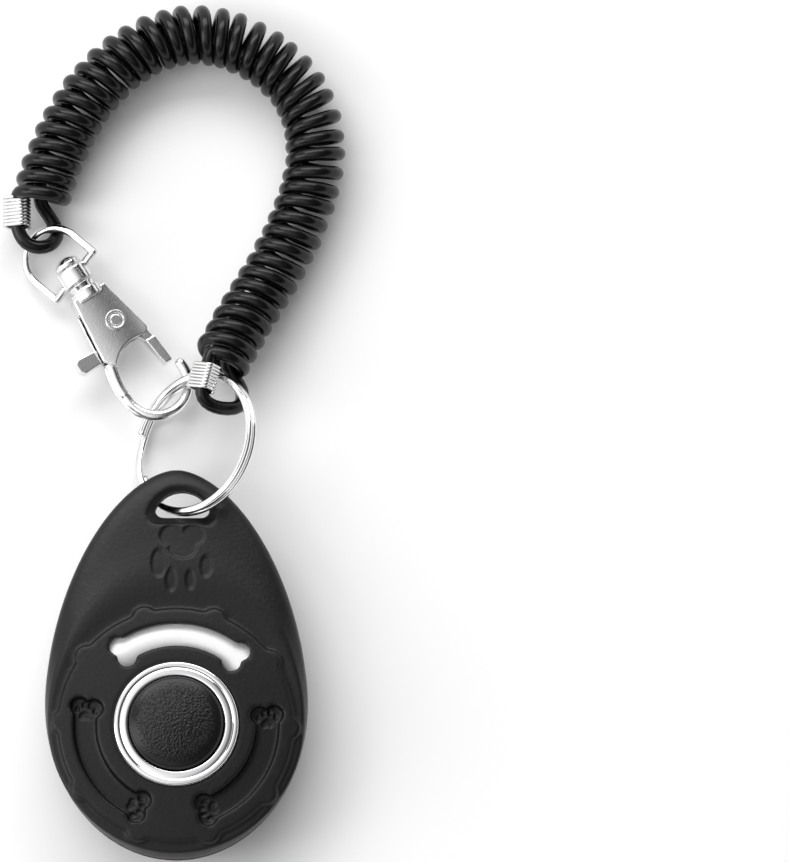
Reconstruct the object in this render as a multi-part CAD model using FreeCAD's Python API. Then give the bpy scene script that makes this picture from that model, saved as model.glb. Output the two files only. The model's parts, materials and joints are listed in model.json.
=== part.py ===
"""Clicker trainer: an egg-shaped hand clicker on a split ring, with a coiled wrist cord and a hook.

Millimetres, +Z up. The clicker lies on its back. The origin is on its flat back, on the button's axis,
and +Y runs from the button towards the eyelet and the wrist cord.
"""

import FreeCAD, Part
import math
import os

Vec = FreeCAD.Vector
os.makedirs("parts", exist_ok=True)

# ---------------------------------------------------------------- driving dimensions
BODY_HALF_WIDTH = 21.9
BODY_TOP = 43.9            # end of the eyelet tab
BODY_BOTTOM = -22.0
WIDEST_Y = 4.28            # the egg is widest here
PARTING_Z = 9.0            # plane between the two covers
SHOULDER_Z = 13.2          # foot of the raised disc
CROWN_Z = 15.3             # middle of the domed disc
WALL = 1.6
BELLY_RADIUS = 12.0        # flat that the clicker lies on

DISC_RADIUS = 19.6         # raised disc, between its tabs
TAB_REACH = 20.7
TAB_COUNT = 10
DOME_DROP = 1.4            # fall of the disc's top from its middle to the tabs

BONE_INNER = 13.3
BONE_OUTER = 17.1
BONE_LOBE = 1.55
BONE_LOBE_RADII = (13.95, 16.35)
BONE_HALF_SPAN = 38.5      # degrees, to the centres of the lobes
BONE_TURN = -2.5           # degrees, the three bones' common turn
RECESS_DEPTH = 1.5

EYELET_CENTRE = (0.95, 37.75)
EYELET_WIDTH = 9.1
EYELET_HEIGHT = 4.4

BEZEL_RADIUS = 10.4
BUTTON_RADIUS = 7.85
BUTTON_BORE = 7.95
BUTTON_TOP = 17.8

REED_TOP = 5.65            # spring steel plate at rest
REED_THICK = 0.35
REED_PLAY = 0.05            # between the plate and what holds its end
REED_HINGE_Y = 11.5        # front edge of the clamp, where the plate flexes

SCREW_SPOTS = ((-12.0, -8.6), (12.0, -8.6), (0.0, 27.6))
SCREW_RADIUS = 1.0
BOSS_RADIUS = 2.3
NECK_BOSS_SINK = 1.2       # the neck's skin falls towards the eyelet, so its boss ends lower

RING_CENTRE = Vec(3.1, 48.3, 9.0)
RING_NORMAL = Vec(-0.62, 0.15, 0.77)
RING_OUTER = 12.5
RING_RADIAL = 1.3          # wire size across the ring
RING_AXIAL = 2.3           # two flat turns, one on the other

COIL_RADIUS = 5.1
CORD_RADIUS = 1.15
COIL_ROUTE = (
    (-22.8, 90.7, 5.15), (-20.1, 99.3, 5.15), (-14.5, 109.1, 5.15), (-6.6, 116.2, 5.15),
    (3.4, 119.2, 5.15), (14.0, 115.6, 5.15), (21.6, 108.1, 5.15), (23.7, 97.6, 5.15),
    (20.5, 86.6, 5.15), (15.4, 76.8, 5.3), (11.1, 69.9, 6.4), (7.9, 63.4, 8.2),
)
HOOK_LOOP_ROUTE = (
    (-26.0, 94.6, 5.3), (-26.9, 90.8, 5.2), (-26.8, 84.6, 5.0), (-24.4, 81.3, 5.0),
    (-19.9, 81.5, 4.2), (-18.1, 85.3, 1.6), (-20.8, 88.6, 2.1), (-23.2, 91.2, 4.2),
)
RING_LOOP_ROUTE = (
    (6.2, 65.0, 10.9), (5.2, 61.6, 12.3), (3.7, 55.9, 12.3), (6.2, 53.9, 11.0),
    (10.8, 54.2, 8.6), (11.0, 58.1, 5.9), (7.9, 61.3, 6.0), (7.4, 64.1, 7.4),
)

CLASP_ORIGIN = Vec(-15.0, 74.4, 4.1)   # middle of the hook body's top edge
CLASP_AXIS = Vec(0.554, -0.8325, 0.0)  # from the swivel towards the hook's nose
CLASP_ROLL = -10.5                      # degrees about that axis
CLASP_HALF_THICK = 1.7
CHANNEL_HALF = 1.1                     # slot inside the hook body, for the gate
GATE_PIVOT = (6.46, 1.11)
EYE_CENTRE = (18.7, 1.1)
EYE_RADIUS = 5.65                      # centre line of the hook's bend
HOOK_WIRE = 0.95
STUD_RADIUS = 1.3
STUD_BORE = 1.36
BAIL_WIRE = 0.68
BAIL_HALF = 5.15
BAIL_STRAIGHT = 4.6
BAIL_SKEW = 17.0                       # degrees that the bail leans from the swivel axis
BAIL_ROLL = 18.0


# ---------------------------------------------------------------- small helpers
def save(name, shape):
    """Write one node's solids."""
    if shape.isNull() or not shape.isValid():
        print("NOT VALID", name)
    shape.exportStep("parts/" + name + ".step")
    box = shape.BoundBox
    print("%-18s solids %d volume %8.2f  x %.1f..%.1f y %.1f..%.1f z %.2f..%.2f" % (
        name, len(shape.Solids), shape.Volume,
        box.XMin, box.XMax, box.YMin, box.YMax, box.ZMin, box.ZMax))


def cylinder(radius, low, high, x=0.0, y=0.0):
    return Part.makeCylinder(radius, high - low, Vec(x, y, low))


def box_between(low, high):
    size = Vec(*high) - Vec(*low)
    return Part.makeBox(size.x, size.y, size.z, Vec(*low))


def prism(points, low, high):
    """A flat polygon (x, y) extruded between two heights."""
    corners = [Vec(x, y, low) for x, y in points]
    face = Part.Face(Part.makePolygon(corners + corners[:1]))
    return face.extrude(Vec(0, 0, high - low))


def joined(shapes):
    """Fuse a list of solids into one."""
    whole = shapes[0]
    for shape in shapes[1:]:
        whole = whole.fuse(shape)
    return whole.removeSplitter()


def without(shape, cutters):
    for cutter in cutters:
        shape = shape.cut(cutter)
    return shape


def turned_profile(points, axis_x=0.0, axis_y=0.0):
    """A closed (radius, height) outline turned about a vertical axis."""
    corners = [Vec(axis_x + r, axis_y, z) for r, z in points]
    face = Part.Face(Part.makePolygon(corners + corners[:1]))
    return face.revolve(Vec(axis_x, axis_y, 0), Vec(0, 0, 1), 360)


def polar(radius, degrees_from_up):
    """Point on a circle round the button, measured clockwise from +Y."""
    angle = math.radians(degrees_from_up)
    return radius * math.sin(angle), radius * math.cos(angle)


# ---------------------------------------------------------------- egg-shaped shells
def egg_wire(half_width, top, bottom, middle, roundness, height, steps=9):
    """Closed smooth egg outline. roundness 1 is an ellipse, 0 the pointed end of the egg."""
    wide_power = 1.14 * (1 - roundness) + 1.0 * roundness
    long_power = 1.163 * (1 - roundness) + 1.0 * roundness
    right = []
    for k in range(-steps, steps + 1):
        angle = math.pi / 2 * k / steps
        cos, sin = abs(math.cos(angle)), abs(math.sin(angle))
        if k <= 0:
            right.append((half_width * cos, middle - (middle - bottom) * sin))
        else:
            right.append((half_width * cos ** wide_power, middle + (top - middle) * sin ** long_power))
    left = [(-x, y) for x, y in reversed(right[1:-1])]
    curve = Part.BSplineCurve()
    curve.interpolate([Vec(x, y, height) for x, y in right + left], PeriodicFlag=True)
    return Part.Wire(curve.toShape())


def front_slice(level, inset=0.0, neck_end=None):
    """Outline of the front cover's side at a level, 0 at the parting plane and 1 at the shoulder."""
    bow = math.sqrt(max(0.0, 1 - level ** 2))
    half_width = BODY_HALF_WIDTH - 0.95 * (1 - bow) - inset
    top = 21.2 + (BODY_TOP - 21.2) * (1 - level ** 2.5) ** 0.8
    bottom = BODY_BOTTOM + 0.85 * (1 - bow) + inset
    if neck_end is not None:
        top = min(top - inset, neck_end - 6.0 * level)
    height = PARTING_Z + (SHOULDER_Z - PARTING_Z) * level
    return egg_wire(half_width, top, bottom, WIDEST_Y * (1 - level ** 2), level, height)


def back_slice(level, inset=0.0, neck_end=None):
    """Outline of the back cover at a level, 0 at the parting plane and 1 at the flat belly."""
    bow = math.sqrt(max(0.0, 1 - level ** 2))
    half_width = BELLY_RADIUS + (BODY_HALF_WIDTH - BELLY_RADIUS) * bow - inset
    top = BELLY_RADIUS + (BODY_TOP - BELLY_RADIUS) * (1 - level ** 1.25) ** 1.15
    bottom = -BELLY_RADIUS + (BODY_BOTTOM + BELLY_RADIUS) * bow + inset
    if neck_end is not None:
        top = min(top - inset, neck_end - 14.0 * level)
    return egg_wire(half_width, top, bottom, WIDEST_Y * bow, level, PARTING_Z * (1 - level))


def eyelet_outline(grow, height):
    """The half-moon hole's outline at a height, grown outwards by grow."""
    cx, cy = EYELET_CENTRE
    half = EYELET_WIDTH / 2 + grow
    low_y = cy - EYELET_HEIGHT / 2 - grow
    high_y = cy + EYELET_HEIGHT / 2 + grow
    rise = 1.2 + 0.5 * grow
    flat = half - rise - 0.4
    left = Vec(cx - half, low_y + rise, height)
    right = Vec(cx + half, low_y + rise, height)
    right_low = Vec(cx + flat, low_y, height)
    left_low = Vec(cx - flat, low_y, height)
    bulge = 0.3 * rise
    return Part.Wire([
        Part.Arc(left, Vec(cx, high_y, height), right).toShape(),
        Part.Arc(right, Vec(cx + half - bulge - 0.1, low_y + bulge, height), right_low).toShape(),
        Part.LineSegment(right_low, left_low).toShape(),
        Part.Arc(left_low, Vec(cx - half + bulge + 0.1, low_y + bulge, height), left).toShape(),
    ])


def eyelet_cutter():
    """The hole through the tab, with a mouth flared on each face."""
    straight = Part.Face(eyelet_outline(0.0, 0.0)).extrude(Vec(0, 0, 20))
    upper_rings = [eyelet_outline(grow, 10.3 + grow) for grow in (0.0, 0.9, 1.7)]
    lower_rings = [eyelet_outline(grow, 8.1 - grow) for grow in (0.0, 1.5, 2.5)]
    upper = Part.makeLoft(upper_rings, True)
    lower = Part.makeLoft(lower_rings, True)
    return joined([straight, upper, lower])


def bone_cutter(middle, low, high):
    """A curved bone outline centred on an angle, clockwise from +Y, as a prism."""
    span = 2 * BONE_HALF_SPAN
    start = 90 - middle - BONE_HALF_SPAN
    outer = Part.makeCylinder(BONE_OUTER, high - low, Vec(0, 0, low), Vec(0, 0, 1), span)
    inner = Part.makeCylinder(BONE_INNER, high - low, Vec(0, 0, low), Vec(0, 0, 1), span)
    bar = outer.cut(inner)
    bar.rotate(Vec(0, 0, 0), Vec(0, 0, 1), start)
    shapes = [bar]
    for end in (-1, 1):
        for radius in BONE_LOBE_RADII:
            x, y = polar(radius, middle + end * BONE_HALF_SPAN)
            shapes.append(cylinder(BONE_LOBE, low, high, x, y))
    return joined(shapes)


def disc_dome():
    """A large ball whose top is the domed face of the raised disc."""
    radius = TAB_REACH ** 2 / (2 * DOME_DROP)
    return Part.makeSphere(radius, Vec(0, 0, CROWN_Z - radius))


def front_cover():
    levels = (0.0, 0.3, 0.6, 0.85, 1.0)
    shell = Part.makeLoft([front_slice(u) for u in levels], True)
    disc = cylinder(DISC_RADIUS, SHOULDER_Z - 1.0, CROWN_Z)
    tabs = [disc]
    for k in range(TAB_COUNT):
        x, y = polar(TAB_REACH - 2.0, 18 + 36 * k + 1.5)
        tabs.append(cylinder(2.0, SHOULDER_Z - 1.0, CROWN_Z, x, y))
    plate = joined(tabs).common(disc_dome())
    shell = shell.fuse(plate)
    cavity_levels = (0.0, 0.35, 0.7, 0.9)
    cavity = Part.makeLoft([front_slice(u * 0.9, WALL, 33.4) for u in cavity_levels], True)
    shell = shell.cut(cavity)
    bosses = []
    for x, y in SCREW_SPOTS:
        top = SHOULDER_Z - NECK_BOSS_SINK if y > 0 else SHOULDER_Z
        bosses.append(cylinder(BOSS_RADIUS, PARTING_Z + 0.1, top, x, y))
    for boss in bosses:
        shell = shell.fuse(boss)
    cutters = [cylinder(BEZEL_RADIUS, 0, 20), eyelet_cutter()]
    cutters.append(bone_cutter(-BONE_TURN, 0, 20))
    for step in (120, 240):
        blind = bone_cutter(step - BONE_TURN, 0, 20)
        radius = TAB_REACH ** 2 / (2 * DOME_DROP)
        floor = Part.makeSphere(radius, Vec(0, 0, CROWN_Z - RECESS_DEPTH - radius))
        cutters.append(blind.cut(floor))
    for x, y in SCREW_SPOTS:
        cutters.append(cylinder(SCREW_RADIUS, PARTING_Z - 1, SHOULDER_Z - 0.9, x, y))
    return without(shell, cutters)


def back_cover():
    levels = (0.0, 0.12, 0.35, 0.6, 0.85, 1.0)
    outside = Part.makeLoft([back_slice(v) for v in levels], True)
    cavity = Part.makeLoft([back_slice(v * 0.8, WALL, 33.4) for v in (0.0, 0.35, 0.7, 1.0)], True)
    shell = outside.cut(cavity)
    bosses = [cylinder(BOSS_RADIUS + 0.6, 0.9, PARTING_Z, x, y) for x, y in SCREW_SPOTS[:2]]
    bosses.append(cylinder(BOSS_RADIUS + 0.6, 4.2, PARTING_Z, *SCREW_SPOTS[2]))
    table = REED_TOP - REED_THICK - REED_PLAY
    pedestal = box_between((-6.6, REED_HINGE_Y, 1.6), (6.6, REED_HINGE_Y + 6.4, table))
    pedestal = pedestal.cut(prism_side(-7.0, 7.0, (
        (REED_HINGE_Y + 1.0, table), (REED_HINGE_Y + 7.0, table - 0.9),
        (REED_HINGE_Y + 7.0, REED_TOP))))
    for piece in bosses + [pedestal]:
        shell = shell.fuse(piece.common(outside))
    cutters = [eyelet_cutter()]
    for x, y in SCREW_SPOTS:
        cutters.append(cylinder(SCREW_RADIUS + 0.25, 0, PARTING_Z + 1, x, y))
        cutters.append(cylinder(2.15, -1, screw_seat(x, y), x, y))
    for x in (-4.3, 4.3):
        cutters.append(cylinder(0.9, 2.2, 8, x, REED_HINGE_Y + 3.4))
    return without(shell, cutters)


def screw_seat(x, y):
    """Height of the shelf that a cover screw's head bears on."""
    return 6.6 if y > 0 else 4.4


def prism_side(low_x, high_x, outline):
    """A (y, z) polygon extruded along X."""
    corners = [Vec(low_x, y, z) for y, z in outline]
    face = Part.Face(Part.makePolygon(corners + corners[:1]))
    return face.extrude(Vec(high_x - low_x, 0, 0))


# ---------------------------------------------------------------- inside the clicker
def chrome_insert():
    profile = (
        (BUTTON_BORE, 10.4), (18.4, 10.4), (18.4, 11.2), (BEZEL_RADIUS, 11.2), (BEZEL_RADIUS, 15.2),
        (10.1, 15.6), (9.4, 15.65), (8.95, 15.4), (BUTTON_BORE, 14.2),
    )
    insert = turned_profile(profile)
    holes = [cylinder(BOSS_RADIUS + 0.15, 9, 12, x, y) for x, y in SCREW_SPOTS[:2]]
    return without(insert, holes)


def button():
    cap_height = BUTTON_TOP - 16.0
    cap_radius = (BUTTON_RADIUS ** 2 + cap_height ** 2) / (2 * cap_height)
    body = cylinder(BUTTON_RADIUS, 9.0, BUTTON_TOP)
    body = body.common(Part.makeSphere(cap_radius, Vec(0, 0, BUTTON_TOP - cap_radius)))
    flange = cylinder(BUTTON_RADIUS + 0.9, 9.0, 10.3)
    hollow = cylinder(BUTTON_RADIUS - 1.4, 8.9, 14.9).cut(cylinder(2.2, 8.9, 15))
    stem = cylinder(2.2, 8.3, 15.0)
    tip = Part.makeSphere(2.2, Vec(0, 0, 8.35)).common(cylinder(2.3, 5.0, 8.4))
    return joined([body, flange]).cut(hollow).fuse([stem, tip]).removeSplitter()


def click_plate():
    low = REED_TOP - REED_THICK
    plate = box_between((-5.5, -13.0, low), (5.5, REED_HINGE_Y + 5.6, REED_TOP))
    dish_radius = 12.0
    dish_up = 0.28
    outer = Part.makeSphere(dish_radius, Vec(0, 0, REED_TOP + dish_up - dish_radius))
    inner = Part.makeSphere(dish_radius - REED_THICK, Vec(0, 0, REED_TOP + dish_up - dish_radius))
    dome = outer.common(cylinder(4.0, low, REED_TOP + 1))
    plate = plate.fuse(dome).cut(inner.common(cylinder(4.0, low - 1, REED_TOP + 1)))
    holes = [cylinder(1.55, 0, 9, x, REED_HINGE_Y + 3.4) for x in (-4.3, 4.3)]
    holes.append(box_between((-5.6, REED_HINGE_Y + 2.4, 0), (-4.3, REED_HINGE_Y + 4.4, 9)))
    holes.append(box_between((4.3, REED_HINGE_Y + 2.4, 0), (5.6, REED_HINGE_Y + 4.4, 9)))
    return without(plate, holes)


def plate_clamp():
    low = REED_TOP + REED_PLAY
    bar = box_between((-6.2, REED_HINGE_Y, low), (6.2, REED_HINGE_Y + 6.2, low + 1.95))
    relief = prism_side(-7, 7, (
        (REED_HINGE_Y, low), (REED_HINGE_Y + 6.3, low), (REED_HINGE_Y + 6.3, low + 1.0)))
    holes = [cylinder(SCREW_RADIUS, 0, 9, x, REED_HINGE_Y + 3.4) for x in (-4.3, 4.3)]
    return without(bar, [relief] + holes)


def screw(x, y, tip, seat, head_radius, head_height, shank_radius, head_down):
    """Round-headed screw on a vertical axis, with a cross recess in its head."""
    shank = cylinder(shank_radius, min(tip, seat), max(tip, seat), x, y)
    base = seat - head_height if head_down else seat
    head = cylinder(head_radius, base, base + head_height, x, y)
    face = base if head_down else base + head_height
    slots = [
        box_between((x - 1.1, y - 0.2, face - 0.6), (x + 1.1, y + 0.2, face + 0.6)),
        box_between((x - 0.2, y - 1.1, face - 0.6), (x + 0.2, y + 1.1, face + 0.6)),
    ]
    return without(joined([shank, head]), slots)


def cover_screws():
    solids = []
    for x, y in SCREW_SPOTS:
        seat = screw_seat(x, y)
        solids.append(screw(x, y, SHOULDER_Z - 1.4, seat, 1.95, 1.3, SCREW_RADIUS, True))
    return Part.makeCompound(solids)


def clamp_screws():
    solids = []
    for x in (-4.3, 4.3):
        solids.append(screw(x, REED_HINGE_Y + 3.4, 2.6, REED_TOP + 2.0, 1.7, 0.9, 0.9, False))
    return Part.makeCompound(solids)


# ---------------------------------------------------------------- ring and cord
def tube(route, radius, name):
    """A round tube along straight runs joined by tangent arcs as large as the runs allow."""
    points = [Vec(*p) for p in route]
    edges = []
    last = points[0]
    radii = []
    for before, corner, after in zip(points, points[1:], points[2:]):
        run_in = corner - before
        run_out = after - corner
        turn = run_in.getAngle(run_out)
        reach = 0.45 * min(run_in.Length, run_out.Length)
        bend = reach / math.tan(turn / 2)
        radii.append(bend)
        start = corner - Vec(run_in).normalize() * reach
        end = corner + Vec(run_out).normalize() * reach
        inward = (Vec(run_out).normalize() - Vec(run_in).normalize()).normalize()
        middle = corner + inward * (bend / math.cos(turn / 2) - bend)
        edges.append(Part.LineSegment(last, start).toShape())
        edges.append(Part.Arc(start, middle, end).toShape())
        last = end
    edges.append(Part.LineSegment(last, points[-1]).toShape())
    path = Part.Wire(edges)
    direction = (points[1] - points[0]).normalize()
    ring = Part.Wire(Part.makeCircle(radius, points[0], direction))
    solid = Part.Wire(path).makePipeShell([ring], True, False)
    length = path.Length
    print("%s: length %.1f, smallest radius %.1f, largest %.1f, volume ratio %.4f" % (
        name, length, min(radii), max(radii), solid.Volume / (math.pi * radius ** 2 * length)))
    return solid


def sleeve(start, end, across, deep, bore, sideways):
    """An oval sleeve round a cord, from start to end, with a round bore."""
    axis = Vec(*end) - Vec(*start)
    length = axis.Length
    shape = Part.makeCylinder(deep / 2, length, Vec(-(across - deep) / 2, 0, 0))
    shape = shape.fuse(Part.makeCylinder(deep / 2, length, Vec((across - deep) / 2, 0, 0)))
    flat = across - deep
    shape = shape.fuse(Part.makeBox(flat, deep, length, Vec(-flat / 2, -deep / 2, 0)))
    shape = shape.cut(Part.makeCylinder(bore, length + 2, Vec(0, 0, -1)))
    shape = shape.removeSplitter()
    return placed(shape, Vec(*start), side_frame(axis, sideways))


def side_frame(axis, sideways):
    """Rotation whose Z is the axis and whose X is as near as can be to sideways."""
    z = Vec(axis).normalize()
    x = (sideways - z * sideways.dot(z)).normalize()
    y = z.cross(x)
    return FreeCAD.Rotation(FreeCAD.Matrix(
        x.x, y.x, z.x, 0,
        x.y, y.y, z.y, 0,
        x.z, y.z, z.z, 0,
        0, 0, 0, 1))


def placed(shape, origin, rotation):
    moved = shape.copy()
    moved.Placement = FreeCAD.Placement(origin, rotation)
    return moved


def split_ring():
    half = RING_AXIAL / 2
    inner = RING_OUTER - RING_RADIAL
    bevel = 0.25
    profile = (
        (inner, -half + bevel), (inner + bevel, -half), (RING_OUTER - bevel, -half),
        (RING_OUTER, -half + bevel), (RING_OUTER, -0.09), (RING_OUTER - 0.12, 0), (RING_OUTER, 0.09),
        (RING_OUTER, half - bevel), (RING_OUTER - bevel, half), (inner + bevel, half),
        (inner, half - bevel), (inner, 0.09), (inner + 0.12, 0), (inner, -0.09),
    )
    ring = turned_profile(profile)
    return placed(ring, RING_CENTRE, side_frame(RING_NORMAL, Vec(1, 0, 0)))


# ---------------------------------------------------------------- swivel hook, in its own frame
def clasp_rotation(roll):
    """Local X along the clasp, local Y across it, local Z out of its face."""
    a = Vec(CLASP_AXIS).normalize()
    flat = Vec(0, 0, 1).cross(a)
    angle = math.radians(roll)
    across = flat * math.cos(angle) + Vec(0, 0, 1) * math.sin(angle)
    normal = a.cross(across)
    return FreeCAD.Rotation(FreeCAD.Matrix(
        a.x, across.x, normal.x, 0, a.y, across.y, normal.y, 0, a.z, across.z, normal.z, 0, 0, 0, 0, 1))


def along_axis(radius, low, high, radius_end=None):
    """A cylinder or cone on the clasp's own axis."""
    if radius_end is None:
        return Part.makeCylinder(radius, high - low, Vec(low, 0, 0), Vec(1, 0, 0))
    return Part.makeCone(radius, radius_end, high - low, Vec(low, 0, 0), Vec(1, 0, 0))


def hook_body():
    t = CLASP_HALF_THICK
    outline = Part.Wire([
        Part.makePolygon([Vec(11.3, -4.6, -t), Vec(-0.1, -3.1, -t), Vec(-0.1, 3.1, -t), Vec(9.9, 5.1, -t)]),
        Part.Arc(Vec(9.9, 5.1, -t), Vec(10.7, 4.6, -t), Vec(10.75, 3.4, -t)).toShape(),
        Part.Arc(Vec(10.75, 3.4, -t), Vec(10.8, 0.4, -t), Vec(13.0, -3.1, -t)).toShape(),
        Part.makePolygon([Vec(13.0, -3.1, -t), Vec(11.3, -4.6, -t)]),
    ])
    plate = Part.Face(outline).extrude(Vec(0, 0, 2 * t))
    arm_line = Part.BSplineCurve()
    arm_line.interpolate([Vec(9.6, -3.1, 0), Vec(12.3, -3.65, 0), Vec(15.0, -4.35, 0), Vec(17.9, -4.5, 0)])
    arm_start = Part.Wire(Part.makeCircle(HOOK_WIRE + 0.1, Vec(9.6, -3.1, 0), arm_line.tangent(0)[0]))
    spine = Part.Wire(arm_line.toShape()).makePipeShell([arm_start], True, False)
    cx, cy = EYE_CENTRE
    start = math.radians(-98)
    at = Vec(cx + EYE_RADIUS * math.cos(start), cy + EYE_RADIUS * math.sin(start), 0)
    heading = Vec(-math.sin(start), math.cos(start), 0)
    section = Part.Face(Part.Wire(Part.makeCircle(HOOK_WIRE, at, heading)))
    bend = section.revolve(Vec(cx, cy, 0), Vec(0, 0, 1), 194)
    finish = math.radians(-98 + 194)
    nose_at = Vec(cx + EYE_RADIUS * math.cos(finish), cy + EYE_RADIUS * math.sin(finish), 0)
    nose = Part.makeSphere(HOOK_WIRE, nose_at)
    flange = along_axis(2.75, -0.9, 0.9)
    neck = along_axis(2.4, -2.05, -0.8, 1.9)
    whole = joined([plate, spine, bend, nose, flange, neck])
    channel = prism(((2.4, -7), (2.4, 7), (12.3, 7), (12.3, -2.3), (11.2, -7)), -CHANNEL_HALF, CHANNEL_HALF)
    pin_hole = cylinder(1.0, -5, 5, *GATE_PIVOT)
    bore = along_axis(STUD_RADIUS, -5, 1.6)
    return without(whole, [channel, pin_hole, bore])


def gate():
    px, py = GATE_PIVOT
    low, high = -1.0, 0.0
    hub = cylinder(2.1, low, high, px, py)
    arm = prism((
        (px - 1.2, py + 1.7), (9.9, 5.15), (12.2, 5.6), (12.2, 3.9), (10.4, 3.1), (px + 1.6, py - 1.3),
    ), low, high)
    bar = prism(((11.9, 3.7), (11.9, 5.45), (16.9, 5.7), (16.9, 4.3), (14.5, 4.0)), low, -low)
    lever = prism((
        (px + 0.6, py - 1.9), (8.7, -3.2), (9.0, -5.0), (11.3, -5.0), (11.6, -3.0), (9.2, 0.4),
        (px + 1.9, py + 0.6),
    ), low, high)
    thumb = prism((
        (8.9, -4.9), (8.7, -8.0), (9.3, -8.7), (10.7, -8.7), (11.4, -8.1), (11.3, -4.9),
    ), low, -low)
    whole = joined([hub, arm, bar, lever, thumb])
    return whole.cut(cylinder(1.06, -5, 5, px, py))


def gate_pin():
    px, py = GATE_PIVOT
    t = CLASP_HALF_THICK
    shank = cylinder(1.0, -t, t, px, py)
    heads = [cylinder(1.75, t, t + 0.45, px, py), cylinder(1.75, -t - 0.45, -t, px, py)]
    rim = cylinder(1.3, t + 0.2, t + 1.0, px, py).cut(cylinder(0.9, t, t + 1.0, px, py))
    return joined([shank] + heads).cut(rim)


def gate_spring():
    """Two close turns round the gate's pin, with a leg to each side."""
    px, py = GATE_PIVOT
    wire = 0.2
    turns = [Part.makeTorus(1.5, wire, Vec(px, py, z), Vec(0, 0, 1)) for z in (0.35, 0.73)]
    leg_back = Part.makeCylinder(wire, 2.5, Vec(px - 1.2, py - 1.4, 0.35), Vec(-0.85, 0.1, 0))
    leg_gate = Part.makeCylinder(wire, 3.0, Vec(px + 1.0, py + 1.2, 0.73), Vec(0.75, 0.5, 0))
    bridge = Part.makeCylinder(wire, 0.38, Vec(px + 1.5, py, 0.35), Vec(0, 0, 1))
    return joined(turns + [bridge, leg_back, leg_gate])


def swivel_stud():
    """Mushroom-headed rivet that the bail turns on."""
    shank = along_axis(STUD_RADIUS, -5.7, 1.6)
    head = Part.makeSphere(2.9, Vec(-4.4, 0, 0)).common(along_axis(2.3, -7.6, -5.5))
    return joined([shank, head])


def bail():
    """Round-wire D with a bored block on the swivel axis."""
    block = along_axis(2.75, -5.0, -2.3)
    skew = math.radians(BAIL_SKEW)
    out = Vec(-math.cos(skew), -math.sin(skew), 0)
    side = Vec(-math.sin(skew), math.cos(skew), 0)
    base = Vec(-3.8, 0.0, 0)
    drop = math.radians(6.0)
    out = out * math.cos(drop) + Vec(0, 0, -1) * math.sin(drop)
    left = base - side * BAIL_HALF
    right = base + side * BAIL_HALF
    left_top = left + out * BAIL_STRAIGHT
    right_top = right + out * BAIL_STRAIGHT
    crown = base + out * (BAIL_STRAIGHT + BAIL_HALF)
    path = Part.Wire([
        Part.LineSegment(right, right_top).toShape(),
        Part.Arc(right_top, crown, left_top).toShape(),
        Part.LineSegment(left_top, left).toShape(),
    ])
    section = Part.Wire(Part.makeCircle(BAIL_WIRE, right, out))
    wire = path.makePipeShell([section], True, False)
    bar = Part.makeCylinder(BAIL_WIRE, 2 * BAIL_HALF, left, side)
    caps = [Part.makeSphere(BAIL_WIRE, at) for at in (left, right)]
    whole = joined([block, bar, wire] + caps)
    return whole.cut(along_axis(STUD_BORE, -9, 3))


def place_clasp(shape, roll=CLASP_ROLL):
    return placed(shape, CLASP_ORIGIN, clasp_rotation(roll))


# ---------------------------------------------------------------- the whole part
def main():
    save("front_cover", front_cover())
    save("back_cover", back_cover())
    save("chrome_insert", chrome_insert())
    save("button", button())
    save("click_plate", click_plate())
    save("plate_clamp", plate_clamp())
    save("clamp_screws", clamp_screws())
    save("cover_screws", cover_screws())
    save("split_ring", split_ring())
    save("coil_cord", tube(COIL_ROUTE, COIL_RADIUS, "coil_cord"))
    save("hook_loop_cord", tube(HOOK_LOOP_ROUTE, CORD_RADIUS, "hook_loop_cord"))
    save("ring_loop_cord", tube(RING_LOOP_ROUTE, CORD_RADIUS, "ring_loop_cord"))
    save("hook_ferrule", sleeve(
        (-26.8, 85.4, 5.03), (-26.8, 91.0, 5.2), 4.4, 3.8, CORD_RADIUS, Vec(1, 0, 0)))
    save("ring_ferrule", sleeve(
        (3.85, 56.45, 12.3), (5.1, 61.2, 12.3), 4.6, 3.5, CORD_RADIUS, Vec(0.78, 0, 0.63)))
    save("bail", place_clasp(bail(), BAIL_ROLL))
    save("swivel_stud", place_clasp(swivel_stud()))
    save("hook_body", place_clasp(hook_body()))
    save("gate", place_clasp(gate()))
    save("gate_pin", place_clasp(gate_pin()))
    save("gate_spring", place_clasp(gate_spring()))


main()
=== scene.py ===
"""The looks of a clicker trainer: a black hand clicker, its split ring, coiled wrist cord and swivel hook.

Lengths in this file are millimetres unless a name ends in _m. MM turns them into the frame's metres.
"""
import json
import math

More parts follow.
